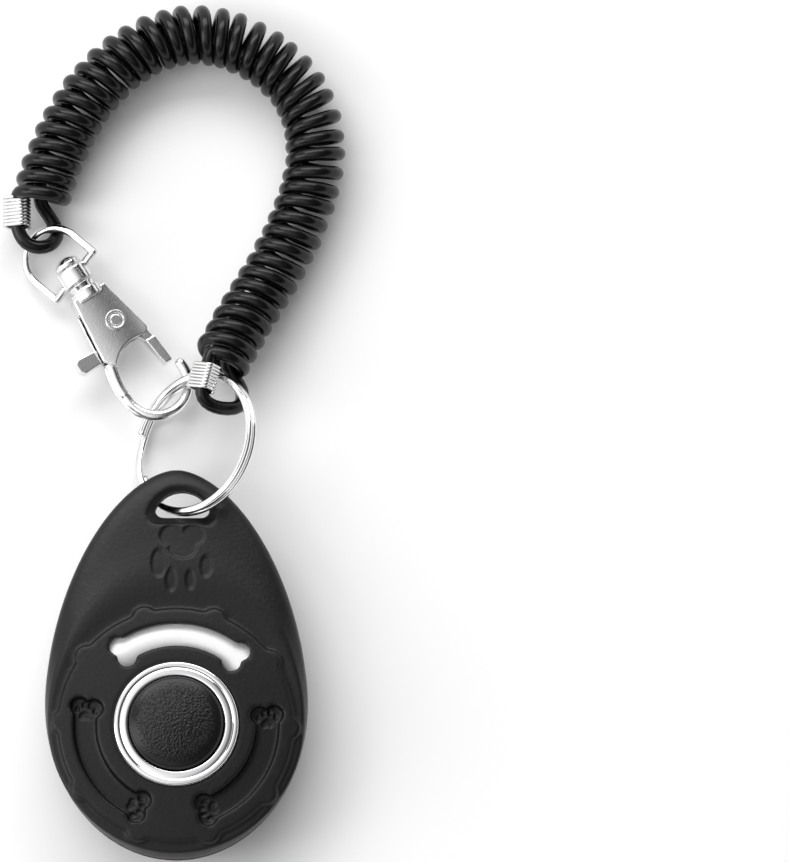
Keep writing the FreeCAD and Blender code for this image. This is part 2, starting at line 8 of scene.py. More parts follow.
import bpy
import numpy as np
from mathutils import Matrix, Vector

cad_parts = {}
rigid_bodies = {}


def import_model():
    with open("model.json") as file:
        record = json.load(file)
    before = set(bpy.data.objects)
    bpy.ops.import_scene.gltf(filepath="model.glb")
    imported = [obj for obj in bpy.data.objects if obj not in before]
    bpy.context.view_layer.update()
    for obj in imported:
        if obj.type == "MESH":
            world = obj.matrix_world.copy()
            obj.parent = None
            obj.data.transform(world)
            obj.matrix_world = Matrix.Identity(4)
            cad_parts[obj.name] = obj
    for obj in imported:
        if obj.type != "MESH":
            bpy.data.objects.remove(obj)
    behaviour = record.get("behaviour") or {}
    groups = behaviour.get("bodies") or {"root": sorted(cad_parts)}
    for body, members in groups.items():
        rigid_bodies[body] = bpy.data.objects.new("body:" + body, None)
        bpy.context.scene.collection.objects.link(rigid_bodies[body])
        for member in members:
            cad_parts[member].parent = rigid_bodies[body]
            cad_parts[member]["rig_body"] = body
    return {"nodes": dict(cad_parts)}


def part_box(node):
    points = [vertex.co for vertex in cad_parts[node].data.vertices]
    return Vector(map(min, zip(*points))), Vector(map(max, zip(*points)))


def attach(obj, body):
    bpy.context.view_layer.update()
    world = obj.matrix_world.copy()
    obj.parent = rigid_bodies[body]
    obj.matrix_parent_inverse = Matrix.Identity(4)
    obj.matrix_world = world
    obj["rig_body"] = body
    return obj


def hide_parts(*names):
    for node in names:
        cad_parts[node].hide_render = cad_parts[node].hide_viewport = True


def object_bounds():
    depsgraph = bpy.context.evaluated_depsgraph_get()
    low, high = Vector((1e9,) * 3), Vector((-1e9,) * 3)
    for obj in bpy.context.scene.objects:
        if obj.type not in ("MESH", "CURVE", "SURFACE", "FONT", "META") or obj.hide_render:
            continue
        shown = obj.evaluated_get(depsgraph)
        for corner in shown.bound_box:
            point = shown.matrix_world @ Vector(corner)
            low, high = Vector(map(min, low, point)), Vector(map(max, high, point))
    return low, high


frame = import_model()
CAD_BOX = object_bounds()
MM = 0.001
UP = np.array((0.0, 0.0, 1.0))

# ---------------------------------------------------------------- places shared with the solid model
CORD_RADIUS = 1.15
HELIX_RADIUS = 3.95
WHOLE_TURNS = 40
POINTS_PER_TURN = 16
TURN_LEAN = math.radians(2.5)
FIRST_TURN_ANGLE = math.radians(20.0)   # where round the coil the hook's end leaves it
LAST_TURN_ANGLE = math.radians(120.0)   # where round the coil the ring's end leaves it
COIL_START = -0.4                       # how far the turns begin past the middle line's first end
COIL_OVERRUN = 1.8                      # how far they run on past its last end
COIL_ROUTE = (
    (-22.8, 90.7, 5.15), (-20.1, 99.3, 5.15), (-14.5, 109.1, 5.15), (-6.6, 116.2, 5.15),
    (3.4, 119.2, 5.15), (14.0, 115.6, 5.15), (21.6, 108.1, 5.15), (23.7, 97.6, 5.15),
    (20.5, 86.6, 5.15), (15.4, 76.8, 5.3), (11.1, 69.9, 6.4), (7.9, 63.4, 8.2),
)
HOOK_LOOP_ROUTE = (
    (-26.9, 89.6, 5.2), (-26.8, 85.1, 5.0), (-24.8, 82.3, 5.0),
    (-21.3, 82.4, 4.2), (-19.7, 85.2, 1.6), (-21.5, 88.2, 2.1), (-23.2, 90.3, 3.6), (-23.0, 93.2, 4.9),
)
RING_LOOP_ROUTE = (
    (5.2, 61.3, 12.3), (3.7, 55.9, 12.3), (6.2, 53.9, 11.0),
    (10.8, 54.2, 8.6), (11.0, 58.1, 5.9), (8.4, 61.0, 7.2), (8.0, 64.4, 8.1),
)
HOOK_FERRULE_WIRE = 0.295
RING_FERRULE_WIRE = 0.28

RING_CENTRE = np.array((3.1, 48.3, 9.0))
RING_NORMAL = np.array((-0.62, 0.15, 0.77))
RING_OUTER = 12.5
RING_RADIAL = 1.3
RING_TURN_THICK = 1.12
RING_TURN_GAP = 0.10                  # the dark line between the two turns
RING_EDGE = 0.48
RING_CROSSING = math.radians(36.0)    # the stretch where the wire steps from one turn to the other
RING_BEGIN = math.radians(196.0)

SWIVEL_POINT = np.array((-15.0, 74.4, 4.1))
HOOK_ACROSS = np.array((0.8325, 0.554, 0.0))
HOOK_CROWN = 0.022                    # fall of the casting's face, per mm squared from its middle line

BEZEL_RADIUS = 10.4
BUTTON_RADIUS = 7.85
BUTTON_TOP = 17.8
BUTTON_DOME_RISE = 1.8
PLATE_RADIUS = 18.4
PLATE_UNDER_Z = 10.4
PLATE_TOP_Z = 11.2
PAD_RISE = 1.9                        # embossed pad of the plate, under the bone window
PAD_HALF_ANGLE = 52.0
FACE_EDGE_Z = 11.7                    # the front cover's face lies above this, inside its shoulder
NECK_FROM_Y = 20.0
SMALL_PAW_SIZE = 3.5
SMALL_PAW_REACH = 15.15
SMALL_PAW_DEPTH = 0.26
NECK_PAW_DEPTH = 0.24
NECK_PAW = (                          # middle x and y, half width and half height of each pad
    (-0.8, 32.2, 2.0, 1.8), (2.7, 32.2, 2.0, 1.8), (1.0, 30.4, 2.4, 2.2),
    (-2.9, 27.5, 1.3, 2.4), (-0.9, 24.6, 0.9, 1.9), (2.3, 24.6, 0.75, 1.6), (4.95, 26.9, 0.95, 1.8),
)


# ---------------------------------------------------------------- camera, floor and light
ROOM_STRENGTH = 1.3
FLOOR_HALF_M = 3.0


def aim(thing, target):
    """Turns a light or a camera to face a point."""
    thing.rotation_euler = (Vector(target) - thing.location).to_track_quat("-Z", "Y").to_euler()


def make_camera():
    """A long lens, looking down steeply from below the clicker's round end."""
    target = Vector((0.0362, 0.0506, 0.008))
    elevation = math.radians(80.0)
    lens, sensor, seen_height_m = 1200.0, 36.0, 0.1437
    distance = seen_height_m * lens / sensor
    data = bpy.data.cameras.new("camera")
    data.lens = lens
    data.sensor_width = sensor
    data.clip_start, data.clip_end = 0.05, 20.0
    camera = bpy.data.objects.new("camera", data)
    bpy.context.scene.collection.objects.link(camera)
    camera.location = target + distance * Vector((0, -math.cos(elevation), math.sin(elevation)))
    aim(camera, target)
    bpy.context.scene.camera = camera


def soft_box(name, position, target, width, height, power):
    """A rectangular lamp. Sizes are in metres and power in watts."""
    data = bpy.data.lights.new(name, "AREA")
    data.shape = "RECTANGLE"
    data.size, data.size_y = width, height
    data.energy = power
    lamp = bpy.data.objects.new(name, data)
    bpy.context.scene.collection.objects.link(lamp)
    lamp.location = position
    aim(lamp, target)


def make_surroundings():
    """A pale room with two soft boxes. A dark band half way up and a darker right side shade the metal."""
    world = bpy.data.worlds.new("pale room")
    bpy.context.scene.world = world
    world.use_nodes = True
    nodes, links = world.node_tree.nodes, world.node_tree.links
    nodes.clear()
    place = nodes.new("ShaderNodeTexCoord")
    split = nodes.new("ShaderNodeSeparateXYZ")
    ramp = nodes.new("ShaderNodeValToRGB")
    background = nodes.new("ShaderNodeBackground")
    output = nodes.new("ShaderNodeOutputWorld")
    links.new(place.outputs["Generated"], split.inputs[0])
    links.new(split.outputs["Z"], ramp.inputs["Fac"])
    side = nodes.new("ShaderNodeMapRange")
    lift = nodes.new("ShaderNodeMapRange")
    for node, low, high, first, last in ((side, -0.36, 0.36, 1.9, 0.2), (lift, 0.25, 0.55, 0.0, 1.0)):
        node.inputs["From Min"].default_value, node.inputs["From Max"].default_value = low, high
        node.inputs["To Min"].default_value, node.inputs["To Max"].default_value = first, last
    share = nodes.new("ShaderNodeMix")
    share.inputs[2].default_value = 1.0
    shaded = nodes.new("ShaderNodeVectorMath")
    shaded.operation = "SCALE"
    links.new(split.outputs["X"], side.inputs["Value"])
    links.new(split.outputs["Z"], lift.inputs["Value"])
    links.new(lift.outputs["Result"], share.inputs[0])
    links.new(side.outputs["Result"], share.inputs[3])
    links.new(ramp.outputs["Color"], shaded.inputs[0])
    links.new(share.outputs[0], shaded.inputs["Scale"])
    links.new(shaded.outputs[0], background.inputs["Color"])
    links.new(background.outputs[0], output.inputs[0])
    stops = ramp.color_ramp.elements
    stops[0].position, stops[0].color = 0.0, (1.0, 1.0, 1.0, 1.0)
    stops[1].position, stops[1].color = 1.0, (0.62, 0.62, 0.625, 1.0)
    for where, grey in ((0.30, 1.0), (0.40, 0.09), (0.64, 0.06), (0.76, 0.55)):
        stop = stops.new(where)
        stop.color = (grey, grey, grey, 1.0)
    background.inputs["Strength"].default_value = ROOM_STRENGTH
    middle = (0.0, 0.05, 0.0)
    soft_box("key box", (-0.12, 0.76, 0.64), middle, 1.2, 0.42, 7.6)
    soft_box("side box", (-0.85, -0.1, 0.55), middle, 0.5, 0.7, 4.0)


def make_floor():
    """A pale table top at the clicker's back."""
    level = CAD_BOX[0].z
    half = FLOOR_HALF_M
    data = bpy.data.meshes.new("floor")
    corners = [(-half, -half, level), (half, -half, level), (half, half, level), (-half, half, level)]
    data.from_pydata(corners, [], [(0, 1, 2, 3)])
    floor = bpy.data.objects.new("floor", data)
    bpy.context.scene.collection.objects.link(floor)
    material = bpy.data.materials.new("pale floor")
    material.use_nodes = True
    shader = material.node_tree.nodes["Principled BSDF"]
    shader.inputs["Base Color"].default_value = (0.9, 0.9, 0.9, 1.0)
    shader.inputs["Roughness"].default_value = 0.9
    shader.inputs["Specular IOR Level"].default_value = 0.1
    floor.data.materials.append(material)


# ---------------------------------------------------------------- shared effects, as node groups
def new_group(name, inputs, outputs):
    """A shader node group. inputs and outputs are (name, socket type, default)."""
    group = bpy.data.node_groups.new(name, "ShaderNodeTree")
    for title, kind, value in inputs:
        socket = group.interface.new_socket(title, in_out="INPUT", socket_type=kind)
        if value is not None:
            socket.default_value = value
    for title, kind in outputs:
        group.interface.new_socket(title, in_out="OUTPUT", socket_type=kind)
    return group, group.nodes.new("NodeGroupInput"), group.nodes.new("NodeGroupOutput")


def noise_node(group, scale_from, vector_from, detail, rough=0.5):
    """A cloudy noise in a group, with its scale and place taken from two sockets."""
    noise = group.nodes.new("ShaderNodeTexNoise")
    noise.inputs["Detail"].default_value = detail
    noise.inputs["Roughness"].default_value = rough
    group.links.new(scale_from, noise.inputs["Scale"])
    group.links.new(vector_from, noise.inputs["Vector"])
    return noise


def handled_group():
    """Even shine with faint cloudy smudges: a roughness that varies round a middle value."""
    group, given, result = new_group(
        "handled shine",
        [("Roughness", "NodeSocketFloat", 0.3), ("Spread", "NodeSocketFloat", 0.08),
         ("Scale", "NodeSocketFloat", 300.0)],
        [("Roughness", "NodeSocketFloat")])
    place = group.nodes.new("ShaderNodeTexCoord")
    clouds = noise_node(group, given.outputs["Scale"], place.outputs["Object"], 5.0, 0.6)
    centred = group.nodes.new("ShaderNodeMath")
    centred.operation = "SUBTRACT"
    centred.inputs[1].default_value = 0.5
    spread = group.nodes.new("ShaderNodeMath")
    spread.operation = "MULTIPLY_ADD"
    group.links.new(clouds.outputs["Fac"], centred.inputs[0])
    group.links.new(centred.outputs[0], spread.inputs[0])
    group.links.new(given.outputs["Spread"], spread.inputs[1])
    group.links.new(given.outputs["Roughness"], spread.inputs[2])
    group.links.new(spread.outputs[0], result.inputs["Roughness"])
    return group


def grain_group():
    """Etched mould grain: rounded cells with finer noise on them, as a height from 0 to 1."""
    group, given, result = new_group(
        "mould grain",
        [("Cell Scale", "NodeSocketFloat", 2200.0), ("Fine Scale", "NodeSocketFloat", 7000.0),
         ("Fine Share", "NodeSocketFloat", 0.35)],
        [("Height", "NodeSocketFloat")])
    place = group.nodes.new("ShaderNodeTexCoord")
    cells = group.nodes.new("ShaderNodeTexVoronoi")
    cells.feature = "SMOOTH_F1"
    cells.inputs["Smoothness"].default_value = 0.7
    group.links.new(given.outputs["Cell Scale"], cells.inputs["Scale"])
    group.links.new(place.outputs["Object"], cells.inputs["Vector"])
    fine = noise_node(group, given.outputs["Fine Scale"], place.outputs["Object"], 3.0)
    blend = group.nodes.new("ShaderNodeMix")
    blend.data_type = "FLOAT"
    group.links.new(given.outputs["Fine Share"], blend.inputs[0])
    group.links.new(cells.outputs["Distance"], blend.inputs[2])
    group.links.new(fine.outputs["Fac"], blend.inputs[3])
    group.links.new(blend.outputs[0], result.inputs["Height"])
    return group


def tint_group():
    """A colour with slow light and dark patches over it."""
    group, given, result = new_group(
        "patchy tint",
        [("Color", "NodeSocketColor", (0.5, 0.5, 0.5, 1.0)), ("Amount", "NodeSocketFloat", 0.1),
         ("Scale", "NodeSocketFloat", 150.0)],
        [("Color", "NodeSocketColor")])
    place = group.nodes.new("ShaderNodeTexCoord")
    patches = noise_node(group, given.outputs["Scale"], place.outputs["Object"], 4.0)
    shade = group.nodes.new("ShaderNodeMath")
    shade.operation = "MULTIPLY_ADD"
    shade.inputs[2].default_value = 1.0
    middle = group.nodes.new("ShaderNodeMath")
    middle.operation = "SUBTRACT"
    middle.inputs[1].default_value = 0.5
    scaled = group.nodes.new("ShaderNodeVectorMath")
    scaled.operation = "SCALE"
    group.links.new(patches.outputs["Fac"], middle.inputs[0])
    group.links.new(middle.outputs[0], shade.inputs[0])
    group.links.new(given.outputs["Amount"], shade.inputs[1])
    group.links.new(given.outputs["Color"], scaled.inputs[0])
    group.links.new(shade.outputs[0], scaled.inputs["Scale"])
    group.links.new(scaled.outputs[0], result.inputs["Color"])
    return group


HANDLED = handled_group()
GRAIN = grain_group()
TINT = tint_group()


class Finish:
    """One material being built: its Principled shader and the groups that feed it."""

    def __init__(self, name, metallic=0.0, specular=0.5):
        self.material = bpy.data.materials.new(name)
        self.material.use_nodes = True
        self.nodes = self.material.node_tree.nodes
        self.links = self.material.node_tree.links
        self.shader = self.nodes["Principled BSDF"]
        self.shader.inputs["Metallic"].default_value = metallic
        self.shader.inputs["Specular IOR Level"].default_value = specular

    def group(self, tree, **values):
        node = self.nodes.new("ShaderNodeGroup")
        node.node_tree = tree
        for title, value in values.items():
            node.inputs[title.replace("_", " ")].default_value = value
        return node

    def tint(self, color, amount, scale):
        node = self.group(TINT, Color=(*color, 1.0), Amount=amount, Scale=scale)
        self.links.new(node.outputs["Color"], self.shader.inputs["Base Color"])

    def shine(self, roughness, spread, scale):
        node = self.group(HANDLED, Roughness=roughness, Spread=spread, Scale=scale)
        self.links.new(node.outputs["Roughness"], self.shader.inputs["Roughness"])

    def grain(self, depth_m, strength, cell_scale, fine_scale, fine_share):
        node = self.group(GRAIN, Cell_Scale=cell_scale, Fine_Scale=fine_scale, Fine_Share=fine_share)
        bump = self.nodes.new("ShaderNodeBump")
        bump.inputs["Strength"].default_value = strength
        bump.inputs["Distance"].default_value = depth_m
        self.links.new(node.outputs["Height"], bump.inputs["Height"])
        self.links.new(bump.outputs["Normal"], self.shader.inputs["Normal"])
        return bump, node


def moulded_black():
    """Satin black shell plastic with a fine mould grain."""
    finish = Finish("moulded black plastic", specular=0.28)
    finish.tint((0.0055, 0.0056, 0.006), 0.35, 220.0)
    finish.shine(0.40, 0.16, 600.0)
    finish.grain(0.00009, 0.6, 1500.0, 5200.0, 0.55)
    return finish.material


def button_black():
    """Smooth black plastic with a pebbled middle that fades out before the rim."""
    pebbled_to, smooth_from, rim_share = 5.2 * MM, 7.2 * MM, 0.06
    finish = Finish("pebbled button plastic", specular=0.30)
    finish.tint((0.006, 0.006, 0.0064), 0.3, 400.0)
    finish.shine(0.30, 0.12, 800.0)
    bump, pebbles = finish.grain(0.00026, 1.0, 2600.0, 6500.0, 0.22)
    place = finish.nodes.new("ShaderNodeTexCoord")
    reach = finish.nodes.new("ShaderNodeVectorMath")
    reach.operation = "LENGTH"
    flat = finish.nodes.new("ShaderNodeVectorMath")
    flat.operation = "MULTIPLY"
    flat.inputs[1].default_value = (1.0, 1.0, 0.0)
    fade = finish.nodes.new("ShaderNodeMapRange")
    fade.interpolation_type = "SMOOTHSTEP"
    fade.inputs["From Min"].default_value = pebbled_to
    fade.inputs["From Max"].default_value = smooth_from
    fade.inputs["To Min"].default_value = 1.0
    fade.inputs["To Max"].default_value = rim_share
    raised = finish.nodes.new("ShaderNodeMath")
    raised.operation = "MULTIPLY"
    finish.links.new(place.outputs["Object"], flat.inputs[0])
    finish.links.new(flat.outputs[0], reach.inputs[0])
    finish.links.new(reach.outputs["Value"], fade.inputs["Value"])
    finish.links.new(fade.outputs["Result"], raised.inputs[0])
    finish.links.new(pebbles.outputs["Height"], raised.inputs[1])
    finish.links.new(raised.outputs[0], bump.inputs["Height"])
    return finish.material


def plated(name, color, roughness, spread, grain_depth_m, fine_share=0.8, metallic=1.0):
    """Bright plating: clean, with slight waves and pits."""
    finish = Finish(name, metallic=metallic)
    finish.tint(color, 0.10, 500.0)
    finish.shine(roughness, spread, 900.0)
    finish.grain(grain_depth_m, 0.6, 900.0, 4200.0, fine_share)
    return finish.material


def cord_black():
    """Smooth black covering of the wrist cord."""
    finish = Finish("smooth black cord", specular=0.30)
    finish.tint((0.003, 0.003, 0.0034), 0.4, 300.0)
    finish.shine(0.24, 0.14, 500.0)
    finish.grain(0.00003, 0.4, 1100.0, 4500.0, 0.7)
    return finish.material


SHELL = moulded_black()
BUTTON = button_black()
CHROME = plated("polished chrome", (0.86, 0.86, 0.87), 0.07, 0.06, 0.000006)
SATIN = plated("satin plated flat", (0.95, 0.95, 0.95), 0.5, 0.08, 0.000006, metallic=0.3)
NICKEL = plated("cast nickel plating", (0.80, 0.80, 0.795), 0.13, 0.12, 0.00004)
RING_STEEL = plated("drawn ring steel", (0.78, 0.78, 0.78), 0.10, 0.08, 0.000012)
WIRE_STEEL = plated("bright binding wire", (0.76, 0.76, 0.755), 0.12, 0.08, 0.000008)
SPRING_STEEL = plated("bare spring steel", (0.42, 0.42, 0.43), 0.25, 0.12, 0.00001)
SCREW_STEEL = plated("zinc screws", (0.5, 0.5, 0.51), 0.28, 0.14, 0.00001)
CORD = cord_black()


# ---------------------------------------------------------------- mesh helpers
def new_piece(name, points, faces, material, body, slot, *stands_for):
    """A mesh piece from points in millimetres, riding on a body in place of the solids it stands for."""
    data = bpy.data.meshes.new(name)
    data.from_pydata([tuple(p) for p in np.asarray(points) * MM], [], faces)
    data.validate()
    data.polygons.foreach_set("use_smooth", [True] * len(data.polygons))
    data.materials.append(material)
    piece = bpy.data.objects.new(name, data)
    bpy.context.scene.collection.objects.link(piece)
    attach(piece, body)
    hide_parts(*stands_for)
    return piece


def unit(vector):
    return vector / np.linalg.norm(vector)


def swept(points, ups, outline, closed=False):
    """Points and faces of an outline carried along a line. ups holds the way its second axis points."""
    points, ups = np.asarray(points, float), np.asarray(ups, float)
    count, sides = len(points), len(outline)
    made = []
    for k in range(count):
        before = points[k - 1] if closed or k > 0 else points[k]
        after = points[(k + 1) % count] if closed or k < count - 1 else points[k]
        ahead = unit(after - before)
        up = unit(ups[k] - ahead * np.dot(ups[k], ahead))
        side = np.cross(ahead, up)
        made.extend(points[k] + side * a + up * b for a, b in outline)
    faces = []
    for k in range(count if closed else count - 1):
        low, high = k * sides, ((k + 1) % count) * sides
        for j in range(sides):
            n = (j + 1) % sides
            faces.append((low + j, low + n, high + n, high + j))
    if not closed:
        faces.append(tuple(reversed(range(sides))))
        faces.append(tuple(range((count - 1) * sides, count * sides)))
    return made, faces


def round_outline(radius, sides):
    """A circle, as points round its middle."""
    return [(radius * math.cos(2 * math.pi * k / sides), radius * math.sin(2 * math.pi * k / sides))
            for k in range(sides)]


def rounded_box_outline(width, height, corner, steps):
    """A rectangle with rounded corners, as points round its middle."""
    outline = []
    for quarter in range(4):
        sign_x = 1 if quarter in (0, 3) else -1
        sign_y = 1 if quarter in (0, 1) else -1
        for k in range(steps + 1):
            angle = math.pi / 2 * (quarter + k / steps)
            outline.append((sign_x * (width / 2 - corner) + corner * math.cos(angle),
                            sign_y * (height / 2 - corner) + corner * math.sin(angle)))
    return outline


def turned(profile, sides):
    """Points and faces of a closed (radius, height) profile turned about the button's axis."""
    made, faces = [], []
    for k in range(sides):
        angle = 2 * math.pi * k / sides
        made.extend((r * math.cos(angle), r * math.sin(angle), z) for r, z in profile)
    count = len(profile)
    for k in range(sides):
        low, high = k * count, ((k + 1) % sides) * count
        for j in range(count):
            n = (j + 1) % count
            faces.append((low + j, high + j, high + n, low + n))
    return made, faces


def arc_profile(centre_r, centre_z, radius, start, end, steps):
    """Points of an arc in a (radius, height) profile. Angles are in degrees from +r."""
    return [(centre_r + radius * math.cos(math.radians(start + (end - start) * k / steps)),
             centre_z + radius * math.sin(math.radians(start + (end - start) * k / steps)))
            for k in range(steps + 1)]


def softened(node, name, voxel, rounds, material, change=None):
    """A copy of a solid with its edges rounded as moulding or casting rounds them."""
    source = frame["nodes"][node]
    draft = bpy.data.objects.new(name, source.data.copy())
    bpy.context.scene.collection.objects.link(draft)
    remesh = draft.modifiers.new("even", "REMESH")
    remesh.mode = "VOXEL"
    remesh.voxel_size = voxel * MM
    remesh.use_smooth_shade = True
    smooth = draft.modifiers.new("round", "SMOOTH")
    smooth.factor = 0.5
    smooth.iterations = rounds
    graph = bpy.context.evaluated_depsgraph_get()
    data = bpy.data.meshes.new_from_object(draft.evaluated_get(graph))
    draft.modifiers.clear()
    draft.data = data
    if change is not None:
        points = np.empty(len(data.vertices) * 3)
        data.vertices.foreach_get("co", points)
        points = points.reshape(-1, 3) / MM
        points = change(points) * MM
        data.vertices.foreach_set("co", points.ravel())
        data.update()
    data.polygons.foreach_set("use_smooth", [True] * len(data.polygons))
    data.materials.clear()
    data.materials.append(material)
    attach(draft, source["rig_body"])
    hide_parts(node)
    return draft


def step_up(value, low, high):
    """0 below low and 1 above high, with a smooth rise between."""
    t = np.clip((value - low) / (high - low), 0.0, 1.0)
    return t * t * (3 - 2 * t)


# ---------------------------------------------------------------- the cord
def spline_curve(name, route):
    """A curve object of one smooth open spline with the route's points as its control points."""
    data = bpy.data.curves.new(name, "CURVE")
    data.dimensions = "3D"
    spline = data.splines.new("NURBS")
    spline.points.add(len(route) - 1)
    for point, place in zip(spline.points, route):
        point.co = (place[0] * MM, place[1] * MM, place[2] * MM, 1.0)
    spline.order_u = 3
    spline.use_endpoint_u = True
    spline.resolution_u = 12
    curve = bpy.data.objects.new(name, data)
    bpy.context.scene.collection.objects.link(curve)
    return curve


def points_along(route):
    """Points in millimetres along the smooth line through a route."""
    curve = spline_curve("guide", route)
    data = bpy.data.meshes.new_from_object(curve)
    points = np.array([v.co for v in data.vertices]) / MM
    bpy.data.objects.remove(curve)
    bpy.data.meshes.remove(data)
    return points


def lengths_along(points):
    """The distance from a line's first point to each of its points."""
    steps = np.linalg.norm(np.diff(points, axis=0), axis=1)
    return np.concatenate(([0.0], np.cumsum(steps)))


def at_length(points, lengths, distance, look=0.6):
    """Place and direction at a distance along a line, or on past either end of it."""
    kept = min(max(distance, 0.0), lengths[-1])
    place = np.array([np.interp(kept, lengths, points[:, axis]) for axis in range(3)])
    ahead = np.array([np.interp(kept + look, lengths, points[:, axis]) for axis in range(3)])
    behind = np.array([np.interp(kept - look, lengths, points[:, axis]) for axis in range(3)])
    direction = unit(ahead - behind)
    return place + direction * (distance - kept), direction


def helix_points():
    """The turns round the coil's middle line, right-handed from the hook's end to the ring's.

    Slow waves, out of step with the turns, make the spacing and the width a little uneven.
    """
    line = points_along(COIL_ROUTE)
    lengths = lengths_along(line)
    first, last = COIL_START, lengths[-1] + COIL_OVERRUN
    start_angle, end_angle = FIRST_TURN_ANGLE, LAST_TURN_ANGLE + 2 * math.pi * WHOLE_TURNS
    count = int(POINTS_PER_TURN * (end_angle - start_angle) / (2 * math.pi))
    made = []
    for k in range(count + 1):
        share = k / count
        angle = start_angle + (end_angle - start_angle) * share
        turn = angle / (2 * math.pi)
        drift = 0.16 * math.sin(2.1 * turn) + 0.11 * math.sin(5.3 * turn + 1.0)
        distance = first + (last - first) * share + drift * math.sin(math.pi * share)
        place, ahead = at_length(line, lengths, distance)
        left = unit(np.cross(UP, ahead))
        over = np.cross(ahead, left)
        radius = HELIX_RADIUS * (1 + 0.012 * math.sin(3.7 * turn + 0.5))
        lean = -math.tan(TURN_LEAN) * radius * math.cos(angle)
        made.append(place + radius * (math.cos(angle) * left + math.sin(angle) * over) + lean * ahead)
    return made


def make_cord():
    """One cord: a loop at the hook, the coil and a loop at the ring. Both ends lie in the coil's hollow."""
    steps_between_points = 4
    route = [np.array(p) for p in reversed(HOOK_LOOP_ROUTE)]
    route.extend(helix_points())
    route.extend(np.array(p) for p in RING_LOOP_ROUTE)
    cord = spline_curve("wrist_cord_line", route)
    cord.data.resolution_u = steps_between_points
    cord.data.splines[0].resolution_u = steps_between_points
    cord.data.bevel_depth = CORD_RADIUS * MM
    cord.data.bevel_resolution = 5
    cord.data.use_fill_caps = True
    cord.data.materials.append(CORD)
    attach(cord, "wrist_cord")
    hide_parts("coil_cord", "hook_loop_cord", "ring_loop_cord")
    return cord


# ---------------------------------------------------------------- ferrules of wound wire
def wound_ferrule(name, node, start, end, across, deep, sideways, turns, wire):
    """Wire wound close round the foot of a loop, in rounded rectangles across by deep."""
    corner = 0.8
    start, end = np.array(start), np.array(end)
    axis = unit(end - start)
    side = unit(np.array(sideways) - axis * np.dot(sideways, axis))
    front = np.cross(axis, side)
    length = np.linalg.norm(end - start)
    outline = rounded_box_outline(across - 2 * wire, deep - 2 * wire, corner, 8)
    points, ups = [], []
    total = int(len(outline) * turns)
    for k in range(total + 1):
        a, b = outline[k % len(outline)]
        along = wire + (length - 2 * wire) * k / total
        middle = start + axis * along
        points.append(middle + side * a + front * b)
        ups.append(axis)
    made, faces = swept(points, ups, round_outline(wire, 10))
    return new_piece(name, made, faces, WIRE_STEEL, "wrist_cord", "nickel", node)


# ---------------------------------------------------------------- split ring
def make_split_ring():
    """Two close turns of flat wire with rounded edges, crossing from one side to the other."""
    normal = unit(RING_NORMAL)
    across = unit(np.array((1.0, 0.0, 0.0)) - normal * normal[0])
    along = np.cross(normal, across)
    middle = RING_OUTER - RING_RADIAL / 2
    steps = 300
    points, ups = [], []
    for k in range(steps + 1):
        turned_by = (4 * math.pi - RING_CROSSING) * k / steps
        angle = RING_BEGIN + turned_by
        rise = float(step_up(np.array(turned_by), 2 * math.pi - RING_CROSSING, 2 * math.pi))
        height = RING_TURN_THICK * (rise - 0.5)
        out = across * math.cos(angle) + along * math.sin(angle)
        points.append(RING_CENTRE + out * middle + normal * height)
        ups.append(normal)
    outline = rounded_box_outline(RING_RADIAL, RING_TURN_THICK - RING_TURN_GAP, RING_EDGE, 5)
    made, faces = swept(points, ups, outline)
    return new_piece("split_ring_wire", made, faces, RING_STEEL, "wrist_cord", "nickel", "split_ring")


# ---------------------------------------------------------------- button and bezel
def make_button():
    """Shallow dome with a rounded rim, a flange under the collar and a stem."""
    rise = BUTTON_DOME_RISE
    dome = (BUTTON_RADIUS ** 2 + rise ** 2) / (2 * rise)
    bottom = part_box("button")[0].z / MM
    top = [(r, BUTTON_TOP - dome + math.sqrt(dome ** 2 - r ** 2)) for r in np.linspace(0.02, 6.9, 24)]
    rim = arc_profile(BUTTON_RADIUS - 0.85, 15.48, 0.85, 68.0, 0.0, 8)
    profile = top + rim + [
        (BUTTON_RADIUS, 10.4), (BUTTON_RADIUS + 0.8, 10.25), (BUTTON_RADIUS + 0.88, 10.1),
        (BUTTON_RADIUS + 0.88, 9.1), (BUTTON_RADIUS - 1.4, 9.0), (BUTTON_RADIUS - 1.5, 14.8),
        (2.2, 14.9), (2.2, bottom + 0.15), (2.05, bottom), (0.02, bottom)]
    made, faces = turned(profile, 160)
    return new_piece("button_cap", made, faces, BUTTON, "button", "button_plastic", "button")


